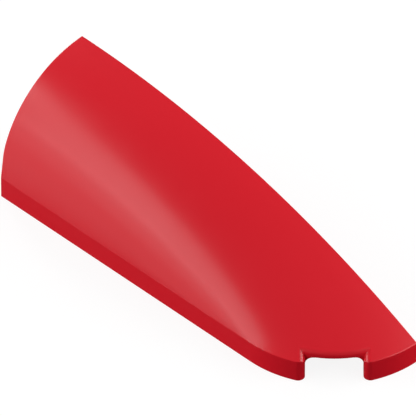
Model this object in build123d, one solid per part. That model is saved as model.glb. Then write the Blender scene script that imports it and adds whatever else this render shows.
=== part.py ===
from build123d import *
import os
from math import asin, cos, sin, sqrt, tan

# A quarter-round tapering fairing for a modular building-toy aircraft, with its friction connector pins.
# Frame: +X runs from the arched rear end to the nose, +Z is up, and the flat seam wall lies on Y = 0 with the
# shell on its -Y side. The origin is the lower rear corner of the seam wall. All sizes are in millimetres.

# Building module: the pitch of the toy's grid, the height of one brick, and the gap left between neighbours.
PITCH = 8.0
BRICK_HEIGHT = 9.6
GRID_GAP = 0.2

# Outer size of the shell: 12 pitches long, 3 wide and 3 bricks high.
LENGTH = 12 * PITCH - GRID_GAP
WIDTH = 3 * PITCH - GRID_GAP
HEIGHT = 3 * BRICK_HEIGHT
RIM_HEIGHT = 5.0
WALL = 1.6

# The cavity's crease sits a little below the rim's, so the skin thins towards the nose.
CAVITY_RIM_HEIGHT = 4.7

# Edge rounding of the moulding.
EDGE_ROUND = 0.3
NOTCH_EDGE_ROUND = 1.4

# Notch in the nose, facing along the diagonal between +X and -Y.
NOTCH_HALF_WIDTH = 5.9
NOTCH_DEPTH = 2.2
NOTCH_CORNER = 2.0
CHEEK_THICKNESS = 1.5
CHEEK_REACH = 2.4

# Pin bores in the seam wall, one on every second grid line.
BORE_RADIUS = 2.4
BORE_HEIGHT = 5.8
BORE_PITCH = 2 * PITCH
BORE_COUNT = 5
FIRST_BORE_X = PITCH - GRID_GAP / 2
BOSS_RADIUS = 3.9
BOSS_LENGTH = PITCH - GRID_GAP / 2
RECESS_RADIUS = 3.1
RECESS_DEPTH = 0.9

# Stiffening formers that follow the inside of the skin, between the bores.
FORMER_THICKNESS = 1.2
FORMER_DEPTH = 3.5
FORMER_BORES = (2, 4)

# Friction pin: a slotted tube with a collar at its middle, and a groove behind the lip at each end.
PIN_HALF_LENGTH = PITCH - GRID_GAP / 2
PIN_RADIUS = 2.36
PIN_HOLE_RADIUS = 1.55
PIN_CHAMFER = 0.25
LIP_LENGTH = 0.7
GROOVE_WIDTH = 0.5
GROOVE_RADIUS = 2.15
COLLAR_RADIUS = 3.0
COLLAR_HALF_LENGTH = 0.8
COLLAR_EDGE_ROUND = 0.2
SLOT_WIDTH = 0.8
SLOT_LENGTH = 3.8
PIN_NAMES = ("rear_seam_pin", "middle_seam_pin", "front_seam_pin")

# Directions that describe the notch, and a distance that counts as touching.
OUT_OF_NOTCH = Vector(1, -1, 0).normalized()
ACROSS_NOTCH = Vector(1, 1, 0).normalized()
NEAR = 0.05


def skin_face(length, width, base, top):
    """The domed skin as one exact surface: each slice along X is the ridge's arc, scaled to fit the slice.

    Its rear edge is a quarter ellipse, its front edge a quarter circle in plan, its inner edge the ridge.
    """
    rise = top - base
    straight = length - width
    ridge_radius = (length**2 + rise**2) / (2 * rise)
    sweep = asin(length / ridge_radius)
    # Control values of an arc, as (sine, cosine, weight): along the ridge, then round the quarter circle.
    along = (
        (0, 1, 1),
        (tan(sweep / 2), 1, cos(sweep / 2)),
        (sin(sweep), cos(sweep), 1),
    )
    around = ((0, 1, 1), (1, 1, sqrt(0.5)), (1, 0, 1))
    points = []
    weights = []
    for along_sine, along_cosine, along_weight in along:
        reach = along_sine * ridge_radius / length
        lift = (along_cosine - cos(sweep)) * ridge_radius
        points.append([
            (reach * (straight + width * sine), -width * cosine, base + lift * sine)
            for sine, cosine, _ in around
        ])
        weights.append([along_weight * weight for _, _, weight in around])
    return Face.make_bezier_surface(points, weights)


def domed_block(length, width, base, top):
    """The solid under the skin, down to Z = 0, bounded by the rear plane, the seam plane and the rim."""
    skin = skin_face(length, width, base, top)
    edges = skin.edges()
    arch = edges.sort_by(lambda edge: edge.center().X)[0]
    nose = edges.sort_by(lambda edge: edge.center().X)[-1]
    side = edges.sort_by(lambda edge: edge.center().Y)[0]
    ridge = edges.sort_by(lambda edge: edge.center().Y)[-1]
    down = (0, 0, -base)
    side_wall = Face.extrude(side, down)
    nose_wall = Face.extrude(nose, down)
    rear_wall = Face(Wire([
        arch,
        Edge.make_line((0, 0, top), (0, 0, 0)),
        Edge.make_line((0, 0, 0), (0, -width, 0)),
        Edge.make_line((0, -width, 0), (0, -width, base)),
    ]))
    seam_wall = Face(Wire([
        ridge,
        Edge.make_line((length, 0, base), (length, 0, 0)),
        Edge.make_line((length, 0, 0), (0, 0, 0)),
        Edge.make_line((0, 0, 0), (0, 0, top)),
    ]))
    floor = Face(Wire([
        Edge.make_line((0, 0, 0), (0, -width, 0)),
        Edge.make_line((0, -width, 0), (length - width, -width, 0)),
        nose.moved(Location(down)),
        Edge.make_line((length, 0, 0), (0, 0, 0)),
    ]))
    return Solid(Shell([skin, side_wall, nose_wall, rear_wall, seam_wall, floor]))


def cavity_block(inset):
    """The block that is hollowed out: inset from the skin and the rim wall, and ending at the seam wall."""
    block = domed_block(LENGTH - inset, WIDTH - inset, CAVITY_RIM_HEIGHT, HEIGHT - inset)
    seam_side = Pos(LENGTH / 2, -WALL / 2, HEIGHT / 2) * Box(2 * LENGTH, WALL, 2 * HEIGHT)
    return block - seam_side


def across_y(x, z, radius, low_y, high_y):
    """A cylinder along Y, between two distances from the seam plane."""
    base = Plane(origin=(x, low_y, z), z_dir=(0, 1, 0))
    return Solid.make_cylinder(radius, high_y - low_y, base)


def bore_x(index):
    return FIRST_BORE_X + index * BORE_PITCH


def notch_box(low_across, high_across, low_out, high_out, low_z, high_z):
    """A box turned to face out of the notch: limits across it, outwards from the nose arc's centre, and in Z."""
    centre = ((low_across + high_across) / 2, (low_out + high_out) / 2, (low_z + high_z) / 2)
    box = Pos(*centre) * Box(high_across - low_across, high_out - low_out, high_z - low_z)
    return Pos(LENGTH - WIDTH, 0, 0) * Rot(0, 0, -135) * box


def nose_cylinder(radius):
    """An upright cylinder on the nose arc's centre, taller than the shell."""
    return Pos(LENGTH - WIDTH, 0, HEIGHT / 2) * Cylinder(radius, 2 * HEIGHT)


def notch_cut():
    """What the notch takes away: its full width, and every height, outside its back face."""
    slot = notch_box(-NOTCH_HALF_WIDTH, NOTCH_HALF_WIDTH, WIDTH / 2, 2 * WIDTH, -HEIGHT, HEIGHT)
    return slot - nose_cylinder(WIDTH - NOTCH_DEPTH)


def notch_supports():
    """A cheek rib behind each side of the notch, with a web that rounds the opening's upper corner."""
    back = WIDTH - NOTCH_DEPTH
    low_out = back - CHEEK_REACH
    edge = NOTCH_HALF_WIDTH - NOTCH_CORNER
    corner_z = RIM_HEIGHT - NOTCH_CORNER
    supports = []
    for side in (-1, 1):
        low, high = sorted((side * NOTCH_HALF_WIDTH, side * (NOTCH_HALF_WIDTH + CHEEK_THICKNESS)))
        supports.append(notch_box(low, high, low_out, back, 0, HEIGHT))
        low, high = sorted((side * edge, side * NOTCH_HALF_WIDTH))
        web = notch_box(low, high, low_out, back, corner_z, HEIGHT)
        round_off = Pos(side * edge, back, corner_z) * Rot(90, 0, 0) * Cylinder(NOTCH_CORNER, WIDTH)
        supports.append(web - Pos(LENGTH - WIDTH, 0, 0) * Rot(0, 0, -135) * round_off)
    return supports


def former(index, cavity):
    """A rib that follows the inside of the skin and the rim wall, midway between a bore and the one behind it."""
    slab = Pos(bore_x(index) - BORE_PITCH / 2, 0, 0) * Box(FORMER_THICKNESS, 4 * WIDTH, 4 * HEIGHT)
    return (cavity & slab) - cavity_block(WALL + FORMER_DEPTH)


def notch_place(edge):
    """Where an edge's middle lies: across the notch, and outwards from the nose arc's centre."""
    middle = edge.center() - Vector(LENGTH - WIDTH, 0, 0)
    return middle.dot(ACROSS_NOTCH), middle.dot(OUT_OF_NOTCH)


def on_notch_mouth(edge):
    across, out = notch_place(edge)
    inside = abs(across) < NOTCH_HALF_WIDTH + NEAR and out > WIDTH - NOTCH_DEPTH - NEAR
    return inside and edge.center().Z > NEAR


def on_crease(edge):
    """The corner between the rim wall and the skin, on the seam's side of the notch."""
    across, _ = notch_place(edge)
    at_rim_top = abs(edge.center().Z - RIM_HEIGHT) < NEAR
    return at_rim_top and across > NOTCH_HALF_WIDTH + NEAR and edge.length > NOTCH_HALF_WIDTH


def outer_form():
    """The moulding's outside, filled in: the domed block with its notch and its rounded edges."""
    block = domed_block(LENGTH, WIDTH, RIM_HEIGHT, HEIGHT)
    rear_and_ridge = block.edges().filter_by(
        lambda edge: edge.length > HEIGHT + NEAR and edge.center().Z > WIDTH / 2
    )
    block = block.fillet(EDGE_ROUND, rear_and_ridge)
    block = (block - notch_cut()).solids()[0]
    block = block.fillet(NOTCH_EDGE_ROUND, block.edges().filter_by(on_notch_mouth))
    return block.fillet(EDGE_ROUND, block.edges().filter_by(on_crease))


def hollow():
    """The space inside: the cavity without its formers, the notch's supports and the pin bosses."""
    cavity = cavity_block(WALL)
    space = cavity
    for index in FORMER_BORES:
        space -= former(index, cavity)
    for support in notch_supports():
        space -= support
    for index in range(BORE_COUNT):
        space -= across_y(bore_x(index), BORE_HEIGHT, BOSS_RADIUS, -BOSS_LENGTH, 0)
    return space


def fairing_shell():
    shell = outer_form() - hollow()
    for index in range(BORE_COUNT):
        shell -= across_y(bore_x(index), BORE_HEIGHT, BORE_RADIUS, -2 * BOSS_LENGTH, 1)
        shell -= across_y(bore_x(index), BORE_HEIGHT, RECESS_RADIUS, -RECESS_DEPTH, 1)
    return shell.solids()[0]


def seam_pin(x):
    """A friction pin along Y: half of it sits in a bore, and its collar straddles the seam plane."""
    z = BORE_HEIGHT
    shaft = across_y(x, z, PIN_RADIUS, -PIN_HALF_LENGTH, PIN_HALF_LENGTH)
    shaft = shaft.chamfer(PIN_CHAMFER, None, shaft.edges().filter_by(GeomType.CIRCLE))
    collar = across_y(x, z, COLLAR_RADIUS, -COLLAR_HALF_LENGTH, COLLAR_HALF_LENGTH)
    collar = collar.fillet(COLLAR_EDGE_ROUND, collar.edges().filter_by(GeomType.CIRCLE))
    pin = shaft + collar
    pin -= across_y(x, z, PIN_HOLE_RADIUS, -2 * PIN_HALF_LENGTH, 2 * PIN_HALF_LENGTH)
    for side in (-1, 1):
        lip_root = side * (PIN_HALF_LENGTH - LIP_LENGTH)
        groove_end = lip_root - side * GROOVE_WIDTH
        low, high = sorted((lip_root, groove_end))
        pin -= across_y(x, z, COLLAR_RADIUS, low, high) - across_y(x, z, GROOVE_RADIUS, low, high)
        slot_root = side * (PIN_HALF_LENGTH - SLOT_LENGTH + SLOT_WIDTH / 2)
        slot_end = side * 2 * PIN_HALF_LENGTH
        pin -= Pos(x, (slot_root + slot_end) / 2, z) * Box(SLOT_WIDTH, abs(slot_end - slot_root), PITCH)
        pin -= Pos(x, slot_root, z) * Cylinder(SLOT_WIDTH / 2, PITCH)
    return pin.solids()[0]


os.makedirs("parts", exist_ok=True)
export_step(fairing_shell(), "parts/fairing_shell.step")
for index, name in enumerate(PIN_NAMES):
    export_step(seam_pin(bore_x(index)), f"parts/{name}.step")
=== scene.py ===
import math

import bpy
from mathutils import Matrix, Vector


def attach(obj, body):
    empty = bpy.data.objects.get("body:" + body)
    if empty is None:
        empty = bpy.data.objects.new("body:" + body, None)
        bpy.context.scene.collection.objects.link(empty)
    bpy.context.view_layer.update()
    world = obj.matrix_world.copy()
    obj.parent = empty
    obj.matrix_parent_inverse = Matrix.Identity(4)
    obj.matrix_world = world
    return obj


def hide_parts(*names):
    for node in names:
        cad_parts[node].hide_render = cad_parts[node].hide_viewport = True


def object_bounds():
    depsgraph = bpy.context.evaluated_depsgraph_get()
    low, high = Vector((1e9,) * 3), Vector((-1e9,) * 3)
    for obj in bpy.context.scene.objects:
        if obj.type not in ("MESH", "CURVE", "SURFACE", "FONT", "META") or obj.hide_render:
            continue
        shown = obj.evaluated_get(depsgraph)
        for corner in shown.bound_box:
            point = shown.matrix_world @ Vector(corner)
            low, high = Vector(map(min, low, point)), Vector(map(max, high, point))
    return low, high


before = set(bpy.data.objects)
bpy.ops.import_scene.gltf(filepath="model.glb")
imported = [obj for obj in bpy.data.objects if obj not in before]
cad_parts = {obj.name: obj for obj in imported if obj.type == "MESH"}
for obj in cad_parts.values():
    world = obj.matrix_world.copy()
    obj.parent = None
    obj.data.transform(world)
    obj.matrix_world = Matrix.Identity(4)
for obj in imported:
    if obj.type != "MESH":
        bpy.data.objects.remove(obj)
cad_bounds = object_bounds()

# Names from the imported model.
SHELL = "fairing_shell"
PINS = ("rear_seam_pin", "middle_seam_pin", "front_seam_pin")

MM = 0.001

# Camera: a long lens far away, so the view is nearly parallel, at the photograph's angle.
CAMERA_AZIMUTH = math.radians(44.795)
CAMERA_ELEVATION = math.radians(41.419)
CAMERA_DISTANCE = 2.85
CAMERA_LENS = 1204.6
CAMERA_SENSOR = 36.0
CAMERA_CLIP = (0.1, 60.0)
CAMERA_TARGET = Vector((31.31, 4.95, -1.90)) * MM

# Softboxes on a dome round the object, as (azimuth, elevation, size, watts), in degrees and metres.
LIGHT_DISTANCE = 0.9
SOFTBOXES = (
    (0, 10, 0.32, 1.6),
    (-30, 10, 0.32, 0.4),
    (-60, 32, 0.32, 2.0),
    (-25, 28, 0.45, 1.7),
    (-110, 25, 0.20, 2.1),
    (120, 32, 0.70, 4.2),
    (150, 10, 0.70, 5.2),
    (-30, -10, 0.45, 0.55),
    (-60, -20, 0.45, 1.4),
)

# The room's own light: its strength from above and from below, and how far past the horizon they blend.
ROOM_ABOVE = 0.205
ROOM_BELOW = 0.0
ROOM_BLEND = 0.15

# The floor: a white backdrop that only the camera sees, so it takes a faint shadow and lights nothing.
FLOOR_GLOW = 0.89
FLOOR_COLOUR = (0.14, 0.14, 0.14)
FLOOR_ROUGHNESS = 0.9
FLOOR_RADIUS = 12.0
FLOOR_SIDES = 96

WHITE = (1.0, 1.0, 1.0, 1.0)

# Finishes: linear colours, roughness as its range, and the relief's depth in metres.
SHELL_RED = (0.755, 0.0105, 0.0225)
SHELL_RED_DEEP = (0.745, 0.0100, 0.0215)
SHELL_SPECULAR = 0.425
GLOSS_ROUGHNESS = (0.276, 0.296)
GLOSS_RELIEF = 0.0012 * MM
MATT_ROUGHNESS = (0.44, 0.52)
MATT_RELIEF = 0.02 * MM
PIN_BLACK = (0.020, 0.020, 0.022)
PIN_RUBBED = (0.060, 0.060, 0.063)
PIN_SPECULAR = 0.5
PIN_ROUGHNESS = (0.36, 0.52)
PIN_RELIEF = 0.006 * MM

# Noises of the finishes, as (bumps per metre, detail, stretch along X, Y and Z).
EVEN = (1.0, 1.0, 1.0)
GLOSS_FLOW = (60.0, 3.0, (0.35, 1.0, 1.0))
GLOSS_SCUFFS = (900.0, 2.0, (0.08, 1.0, 1.0))
GLOSS_CLOUD = (140.0, 2.0, EVEN)
GLOSS_PEEL = (700.0, 2.0, EVEN)
MATT_FLOW = (90.0, 3.0, EVEN)
MATT_GRAIN = (2600.0, 3.0, EVEN)
PIN_PATCHES = (1400.0, 3.0, EVEN)
PIN_RINGS = (5200.0, 1.0, (0.1, 1.0, 0.1))
PIN_GRAIN = (3200.0, 2.0, EVEN)

# Spans of a noise's value that a finish answers to, and the full range of a mask.
MIDDLE_SPAN = (0.3, 0.7)
WIDE_SPAN = (0.2, 0.8)
SCUFF_SPAN = (0.62, 0.80)
SCUFF_CORE_SPAN = (0.64, 0.80)
PATCH_SPAN = (0.42, 0.62)
FULL = (0.0, 1.0)

# What a mark adds to the roughness, and how high each relief stands, as a share of its depth.
SCUFF_ROUGHNESS = 0.04
MARK_ROUGHNESS = -0.14
PEEL_HEIGHT = 0.6
SCUFF_HEIGHT = -0.3
MATT_GRAIN_HEIGHT = 0.35
MARK_HEIGHT = 2.0
RING_HEIGHT = 0.4
PIN_GRAIN_HEIGHT = 0.5

# Where a pin is rubbed, as distances from its middle, and how much from its shaft to its lips.
RUB_SPAN = (6.9 * MM, 7.3 * MM)
RUB_SHARE = (0.15, 1.0)

# Ejector pin marks inside the shell, as places along X and Z.
EJECTOR_RADIUS = 1.25 * MM
EJECTOR_EDGE = 0.06 * MM
EJECTOR_MARKS = (
    (15.9 * MM, 15.0 * MM),
    (47.9 * MM, 13.0 * MM),
    (63.9 * MM, 3.2 * MM),
    (80.5 * MM, 5.5 * MM),
)

# The skin, as in the CAD: each slice along X is the ridge's arc, scaled to fit the slice.
LENGTH = 95.8 * MM
WIDTH = 23.8 * MM
RIM_HEIGHT = 5.0 * MM
RIDGE_RISE = 23.8 * MM
STRAIGHT = LENGTH - WIDTH
RIDGE_RADIUS = (LENGTH**2 + RIDGE_RISE**2) / (2 * RIDGE_RISE)

# The crease above the rim wall: the skin leaves the wall at a lean, keeps it, then eases back to the arch.
# It fades out towards the nose tip, as a power of the distance along the skin.
CREASE_LEAN = math.radians(7.5)
CREASE_STEADY = 5.0 * MM
CREASE_END = 8.28 * MM
CREASE_FADE_POWER = 4

# The crease moves everything within SKIN_DEPTH of the skin, and its slope is measured over SLOPE_STEP.
SKIN_DEPTH = 1.0 * MM
SLOPE_STEP = 0.02 * MM

# A vertex this close to the skin counts as on it, in faces that turn from the skin by less than SKIN_TURN.
ON_SKIN = 0.004 * MM
SKIN_TURN = math.radians(12)

# A face deeper than OUTER_DEPTH belongs to the cavity, and so does one further in than the notch reaches.
OUTER_DEPTH = 0.9 * MM
NOTCH_REACH = 2.3 * MM

# How the skin's parameters are solved for: rounds of each search, the share of each step that is taken, and
# the least height of the ridge, which keeps the nose tip from dividing by zero.
PLACE_ROUNDS = 20
PLACE_STEP = 0.7
NORMAL_ROUNDS = 6
LEAST_LIFT = 1e-7


def on_dome(azimuth, elevation, distance):
    """A point at an azimuth and elevation, in radians, as seen from the origin."""
    flat = math.cos(elevation) * distance
    height = math.sin(elevation) * distance
    return Vector((math.sin(azimuth) * flat, -math.cos(azimuth) * flat, height))


def aimed(obj, place, target):
    """Links an object, puts it at a place, and turns its -Z side towards a target."""
    bpy.context.scene.collection.objects.link(obj)
    obj.location = place
    obj.rotation_mode = "QUATERNION"
    obj.rotation_quaternion = (target - place).to_track_quat("-Z", "Y")
    return obj


def make_camera():
    """The main view's camera."""
    data = bpy.data.cameras.new("camera")
    data.type = "PERSP"
    data.lens = CAMERA_LENS
    data.sensor_width = CAMERA_SENSOR
    data.clip_start, data.clip_end = CAMERA_CLIP
    back = on_dome(CAMERA_AZIMUTH, CAMERA_ELEVATION, CAMERA_DISTANCE)
    camera = bpy.data.objects.new("camera", data)
    bpy.context.scene.camera = aimed(camera, CAMERA_TARGET + back, CAMERA_TARGET)


def make_softbox(number, azimuth, elevation, size, watts):
    """A square area light on the dome, aimed at the object's centre, that the camera doesn't see."""
    data = bpy.data.lights.new(f"softbox_{number}", "AREA")
    data.shape = "SQUARE"
    data.size = size
    data.energy = watts
    low, high = cad_bounds
    centre = (low + high) / 2
    light = bpy.data.objects.new(data.name, data)
    place = centre + on_dome(math.radians(azimuth), math.radians(elevation), LIGHT_DISTANCE)
    aimed(light, place, centre).visible_camera = False


def make_room():
    """The room's own light: one strength from above, another from below, blended at the horizon."""
    world = bpy.data.worlds.new("room")
    world.use_nodes = True
    tree = world.node_tree
    background = tree.nodes["Background"]
    background.inputs["Color"].default_value = WHITE
    place = tree.nodes.new("ShaderNodeTexCoord")
    split = tree.nodes.new("ShaderNodeSeparateXYZ")
    blend = tree.nodes.new("ShaderNodeMapRange")
    blend.interpolation_type = "SMOOTHSTEP"
    blend.inputs["From Min"].default_value = -ROOM_BLEND
    blend.inputs["From Max"].default_value = ROOM_BLEND
    blend.inputs["To Min"].default_value = ROOM_BELOW
    blend.inputs["To Max"].default_value = ROOM_ABOVE
    tree.links.new(place.outputs["Generated"], split.inputs["Vector"])
    tree.links.new(split.outputs["Z"], blend.inputs["Value"])
    # Beyond the floor's edge the camera sees the same white, which lights nothing.
    path = tree.nodes.new("ShaderNodeLightPath")
    seen = tree.nodes.new("ShaderNodeMapRange")
    seen.inputs["To Max"].default_value = 1.0
    tree.links.new(path.outputs["Is Camera Ray"], seen.inputs["Value"])
    tree.links.new(blend.outputs["Result"], seen.inputs["To Min"])
    tree.links.new(seen.outputs["Result"], background.inputs["Strength"])
    bpy.context.scene.world = world


class Nodes:
    """A short way to write a material's nodes."""

    def __init__(self, name):
        self.material = bpy.data.materials.new(name)
        self.material.use_nodes = True
        self.tree = self.material.node_tree
        self.tree.nodes.clear()

    def add(self, kind, settings=None, **inputs):
        """A node of a kind, with its settings and inputs. An input's name has _ for each space."""
        node = self.tree.nodes.new(kind)
        for key, value in (settings or {}).items():
            setattr(node, key, value)
        for key, value in inputs.items():
            self.put(node, key.replace("_", " "), value)
        return node

    def put(self, node, key, value):
        """Sets a node's input, named or numbered, to a value, or links it to a socket."""
        socket = node.inputs[int(key)] if key.isdigit() else node.inputs[key]
        if isinstance(value, bpy.types.NodeSocket):
            self.tree.links.new(value, socket)
        else:
            socket.default_value = value


def make_floor():
    """A wide white disc under the object, seen by the camera alone."""
    mesh = bpy.data.meshes.new("floor")
    angles = [2 * math.pi * side / FLOOR_SIDES for side in range(FLOOR_SIDES)]
    ring = [(FLOOR_RADIUS * math.cos(angle), FLOOR_RADIUS * math.sin(angle), 0.0) for angle in angles]
    mesh.from_pydata(ring, [], [list(range(FLOOR_SIDES))])
    floor = bpy.data.objects.new("floor", mesh)
    bpy.context.scene.collection.objects.link(floor)
    nodes = Nodes("floor_paper")
    surface = nodes.add("ShaderNodeBsdfPrincipled", Roughness=FLOOR_ROUGHNESS)
    surface.inputs["Emission Strength"].default_value = FLOOR_GLOW
    surface.inputs["Base Color"].default_value = (*FLOOR_COLOUR, 1.0)
    surface.inputs["Emission Color"].default_value = WHITE
    surface.inputs["Specular IOR Level"].default_value = 0.0
    nodes.add("ShaderNodeOutputMaterial", Surface=surface.outputs["BSDF"])
    mesh.materials.append(nodes.material)
    floor.visible_diffuse = False
    floor.visible_glossy = False
    floor.visible_shadow = False


def grain(nodes, place, noise):
    """One of the finishes' noises, in object space."""
    scale, detail, stretch = noise
    shaped = nodes.add("ShaderNodeMapping", Vector=place, Scale=stretch)
    field = nodes.add("ShaderNodeTexNoise", Vector=shaped.outputs["Vector"], Scale=scale, Detail=detail)
    return field.outputs["Fac"]


def ranged(nodes, value, span, result):
    """A value mapped smoothly from a span to a range of results, and clamped."""
    node = nodes.add(
        "ShaderNodeMapRange",
        {"interpolation_type": "SMOOTHSTEP"},
        Value=value,
        From_Min=span[0],
        From_Max=span[1],
        To_Min=result[0],
        To_Max=result[1],
    )
    return node.outputs["Result"]


def total(nodes, *values):
    """The sum of several values."""
    result = values[0]
    for value in values[1:]:
        node = nodes.add("ShaderNodeMath", {"operation": "ADD"})
        nodes.put(node, "0", result)
        nodes.put(node, "1", value)
        result = node.outputs["Value"]
    return result


def tinted(nodes, mask, plain, marked):
    """A colour that goes from plain to marked as the mask goes from 0 to 1."""
    node = nodes.add("ShaderNodeMix", {"data_type": "RGBA"})
    nodes.tree.links.new(mask, node.inputs["Factor"])
    node.inputs["A"].default_value = (*plain, 1.0)
    node.inputs["B"].default_value = (*marked, 1.0)
    return node.outputs["Result"]


def disc(nodes, place, axes, centre, radius, edge):
    """1 inside a circle seen along the axis that isn't named in axes, and 0 outside."""
    parts = nodes.add("ShaderNodeSeparateXYZ", Vector=place)
    flat = nodes.add("ShaderNodeCombineXYZ")
    nodes.tree.links.new(parts.outputs[axes[0]], flat.inputs["X"])
    nodes.tree.links.new(parts.outputs[axes[1]], flat.inputs["Y"])
    gap = nodes.add("ShaderNodeVectorMath", {"operation": "DISTANCE"})
    nodes.put(gap, "0", flat.outputs["Vector"])
    gap.inputs[1].default_value = (*centre, 0.0)
    return ranged(nodes, gap.outputs["Value"], (radius - edge, radius + edge), (1.0, 0.0))


def finished(nodes, colour, roughness, height, depth, specular):
    """The material, from a colour, a roughness, a height as a share of the relief's depth, and a specular."""
    bump = nodes.add("ShaderNodeBump", Height=height, Strength=1.0, Distance=depth)
    surface = nodes.add("ShaderNodeBsdfPrincipled", Normal=bump.outputs["Normal"])
    nodes.tree.links.new(colour, surface.inputs["Base Color"])
    nodes.tree.links.new(roughness, surface.inputs["Roughness"])
    surface.inputs["Specular IOR Level"].default_value = specular
    nodes.add("ShaderNodeOutputMaterial", Surface=surface.outputs["BSDF"])
    return nodes.material


def shell_outside():
    """Polished mould face: gloss red, with faint flow marks, hairline scuffs and a slight orange peel."""
    nodes = Nodes("shell_plastic_gloss")
    place = nodes.add("ShaderNodeTexCoord").outputs["Object"]
    flow = ranged(nodes, grain(nodes, place, GLOSS_FLOW), MIDDLE_SPAN, FULL)
    scuffs = grain(nodes, place, GLOSS_SCUFFS)
    cloud = grain(nodes, place, GLOSS_CLOUD)
    peel = grain(nodes, place, GLOSS_PEEL)
    roughness = total(
        nodes,
        ranged(nodes, scuffs, SCUFF_SPAN, (0.0, SCUFF_ROUGHNESS)),
        ranged(nodes, cloud, MIDDLE_SPAN, GLOSS_ROUGHNESS),
    )
    height = total(
        nodes,
        ranged(nodes, peel, WIDE_SPAN, (0.0, PEEL_HEIGHT)),
        ranged(nodes, scuffs, SCUFF_CORE_SPAN, (0.0, SCUFF_HEIGHT)),
    )
    colour = tinted(nodes, flow, SHELL_RED_DEEP, SHELL_RED)
    return finished(nodes, colour, roughness, height, GLOSS_RELIEF, SHELL_SPECULAR)


def shell_inside():
    """Spark-eroded mould face: matt red, with a fine grain and the round marks of the ejector pins."""
    nodes = Nodes("shell_plastic_matt")
    place = nodes.add("ShaderNodeTexCoord").outputs["Object"]
    flow = grain(nodes, place, MATT_FLOW)
    discs = [disc(nodes, place, "XZ", centre, EJECTOR_RADIUS, EJECTOR_EDGE) for centre in EJECTOR_MARKS]
    marks = total(nodes, *discs)
    roughness = total(
        nodes,
        ranged(nodes, flow, WIDE_SPAN, MATT_ROUGHNESS),
        ranged(nodes, marks, FULL, (0.0, MARK_ROUGHNESS)),
    )
    height = total(
        nodes,
        ranged(nodes, grain(nodes, place, MATT_GRAIN), WIDE_SPAN, (0.0, MATT_GRAIN_HEIGHT)),
        ranged(nodes, marks, FULL, (0.0, MARK_HEIGHT)),
    )
    colour = tinted(nodes, ranged(nodes, flow, MIDDLE_SPAN, FULL), SHELL_RED_DEEP, SHELL_RED)
    return finished(nodes, colour, roughness, height, MATT_RELIEF, SHELL_SPECULAR)


def pin_material():
    """Near-black satin plastic, rubbed lighter at the lips, with fine rings round the shaft."""
    nodes = Nodes("pin_plastic_satin")
    place = nodes.add("ShaderNodeTexCoord").outputs["Object"]
    along = nodes.add("ShaderNodeSeparateXYZ", Vector=place).outputs["Y"]
    from_middle = nodes.add("ShaderNodeMath", {"operation": "ABSOLUTE"})
    nodes.put(from_middle, "0", along)
    patches = ranged(nodes, grain(nodes, place, PIN_PATCHES), PATCH_SPAN, FULL)
    product = nodes.add("ShaderNodeMath", {"operation": "MULTIPLY"})
    nodes.put(product, "0", ranged(nodes, from_middle.outputs["Value"], RUB_SPAN, RUB_SHARE))
    nodes.put(product, "1", patches)
    rubbed = product.outputs["Value"]
    height = total(
        nodes,
        ranged(nodes, grain(nodes, place, PIN_RINGS), MIDDLE_SPAN, (0.0, RING_HEIGHT)),
        ranged(nodes, grain(nodes, place, PIN_GRAIN), WIDE_SPAN, (0.0, PIN_GRAIN_HEIGHT)),
    )
    colour = tinted(nodes, rubbed, PIN_BLACK, PIN_RUBBED)
    roughness = ranged(nodes, rubbed, FULL, PIN_ROUGHNESS)
    return finished(nodes, colour, roughness, height, PIN_RELIEF, PIN_SPECULAR)


def ridge_lift(x):
    """The ridge's height above the rim at a distance from the rear."""
    return RIDGE_RISE - RIDGE_RADIUS + math.sqrt(max(RIDGE_RADIUS**2 - x**2, 0.0))


def skin_place(x, z):
    """The skin's parameters at a height: 0 at the rear to 1 at the nose, and the arch angle's sine."""
    sine = 0.5
    for _ in range(PLACE_ROUNDS):
        along = min(max(x / (STRAIGHT + WIDTH * sine), 0.0), 1.0)
        lift = max(ridge_lift(along * LENGTH), LEAST_LIFT)
        sine += PLACE_STEP * (min(max((z - RIM_HEIGHT) / lift, 0.0), 1.0) - sine)
    return along, sine


def crease_share(along):
    """How much of the crease is left at a distance along the skin: all at the rear, none at the nose."""
    return 1.0 - along**CREASE_FADE_POWER


def skin_normals(x, y, z):
    """The skin's outward normal at a point on it, plain and turned for the crease, or None off the skin."""
    sine = math.sqrt(max(1.0 - (y / WIDTH) ** 2, 0.0))
    for _ in range(NORMAL_ROUNDS):
        along = min(max(x / (STRAIGHT + WIDTH * sine), 0.0), 1.0)
        lift = max(ridge_lift(along * LENGTH), LEAST_LIFT)
        angle = math.atan2((z - RIM_HEIGHT) / lift, -y / WIDTH)
        sine = math.sin(angle)
    reach = STRAIGHT + WIDTH * sine
    place = Vector((along * reach, -WIDTH * math.cos(angle), RIM_HEIGHT + sine * lift))
    if (place - Vector((x, y, z))).length > ON_SKIN:
        return None
    fall = -along * LENGTH / math.sqrt(RIDGE_RADIUS**2 - (along * LENGTH) ** 2)
    # The turn shrinks as the arch rises, and ends where the arch itself leans by twice the crease's lean.
    turn = max(CREASE_LEAN - angle / 2, 0.0) * crease_share(along)
    normals = []
    for seen in (angle, angle + turn):
        sine, cosine = math.sin(seen), math.cos(seen)
        along_skin = Vector((STRAIGHT + WIDTH * sine, 0.0, sine * fall * LENGTH))
        round_skin = Vector((along * WIDTH * cosine, WIDTH * sine, cosine * lift))
        normals.append(along_skin.cross(round_skin).normalized())
    return normals


def crease_inset(x, z):
    """How far the crease moves the skin towards the seam at a point."""
    along, sine = skin_place(x, z)
    height = sine * WIDTH
    if not 0.0 < height < CREASE_END:
        return 0.0
    arch = WIDTH - math.sqrt(WIDTH**2 - height**2)
    lean = math.tan(CREASE_LEAN)
    end_slope = CREASE_END / math.sqrt(WIDTH**2 - CREASE_END**2)
    ramp = (end_slope - lean) / (CREASE_END - CREASE_STEADY)
    past = max(height - CREASE_STEADY, 0.0)
    leaned = lean * height + ramp * past**2 / 2
    return (leaned - arch) * crease_share(along)


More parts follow.
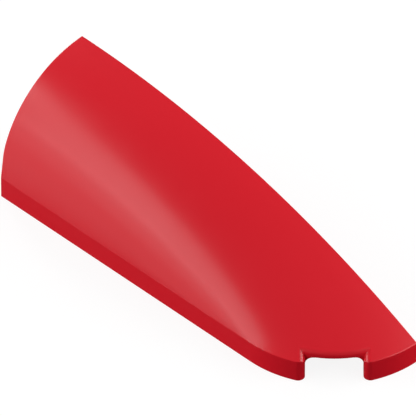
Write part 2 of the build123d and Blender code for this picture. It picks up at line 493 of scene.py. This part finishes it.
def crease_moves(mesh):
    """For each vertex near the creased skin, its inset, and the inset's slope along X and Z."""
    insets = {}
    slopes = {}
    for vertex in mesh.vertices:
        x, y, z = vertex.co
        _, sine = skin_place(x, z)
        outside = -WIDTH * math.sqrt(max(1.0 - sine**2, 0.0))
        if z < RIM_HEIGHT - SLOPE_STEP or y > outside + SKIN_DEPTH or sine * WIDTH > CREASE_END:
            continue
        inset = crease_inset(x, z)
        along_x = (crease_inset(x + SLOPE_STEP, z) - inset) / SLOPE_STEP
        along_z = (crease_inset(x, z + SLOPE_STEP) - inset) / SLOPE_STEP
        insets[vertex.index] = inset
        slopes[vertex.index] = Vector((along_x, 0.0, along_z))
    return insets, slopes


def creased_normals(mesh, slopes):
    """Every corner's normal: the skin's own where it is on the skin, else the CAD's, tilted by the crease."""
    normals = [Vector(corner.vector) for corner in mesh.corner_normals]
    exact = [skin_normals(*vertex.co) for vertex in mesh.vertices]
    least_match = math.cos(SKIN_TURN)
    for polygon in mesh.polygons:
        above = polygon.center.z >= RIM_HEIGHT
        for corner in polygon.loop_indices:
            index = mesh.loops[corner].vertex_index
            if exact[index] and exact[index][0].dot(polygon.normal) > least_match:
                normals[corner] = exact[index][int(above)]
            elif above and index in slopes:
                tilt = slopes[index] * normals[corner].y
                normals[corner] = (normals[corner] - tilt).normalized()
    return normals


def is_inside(place):
    """True for a face of the cavity, whose mould face isn't polished."""
    x, y, z = place
    if min(x, -y, z) < OUTER_DEPTH:
        return False
    sine = math.sqrt(max(1.0 - (y / WIDTH) ** 2, 0.0))
    along = min(x / (STRAIGHT + WIDTH * sine), 1.0)
    if RIM_HEIGHT + sine * ridge_lift(along * LENGTH) - z < OUTER_DEPTH:
        return False
    if x < STRAIGHT:
        return y > -WIDTH + OUTER_DEPTH
    return math.hypot(x - STRAIGHT, y) < WIDTH - NOTCH_REACH


def creased_shell():
    """The shell's visible mesh: the CAD mesh with the crease above its rim wall, in its two finishes."""
    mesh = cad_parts[SHELL].data.copy()
    mesh.name = "fairing_shell_skin"
    shell = bpy.data.objects.new("fairing_shell_skin", mesh)
    bpy.context.scene.collection.objects.link(shell)
    insets, slopes = crease_moves(mesh)
    normals = creased_normals(mesh, slopes)
    for index, inset in insets.items():
        mesh.vertices[index].co.y += inset
    mesh.normals_split_custom_set(normals)
    mesh.materials.clear()
    mesh.materials.append(shell_outside())
    mesh.materials.append(shell_inside())
    for polygon in mesh.polygons:
        polygon.material_index = int(is_inside(polygon.center))
    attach(shell, "shell")
    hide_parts(SHELL)


def paint(node, material):
    """Gives a CAD node one material, in every slot that it has."""
    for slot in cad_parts[node].material_slots:
        slot.material = material


make_camera()
make_room()
for number, softbox in enumerate(SOFTBOXES, 1):
    make_softbox(number, *softbox)
make_floor()
creased_shell()
satin = pin_material()
for pin in PINS:
    paint(pin, satin)

bpy.context.scene.view_settings.view_transform = "Standard"
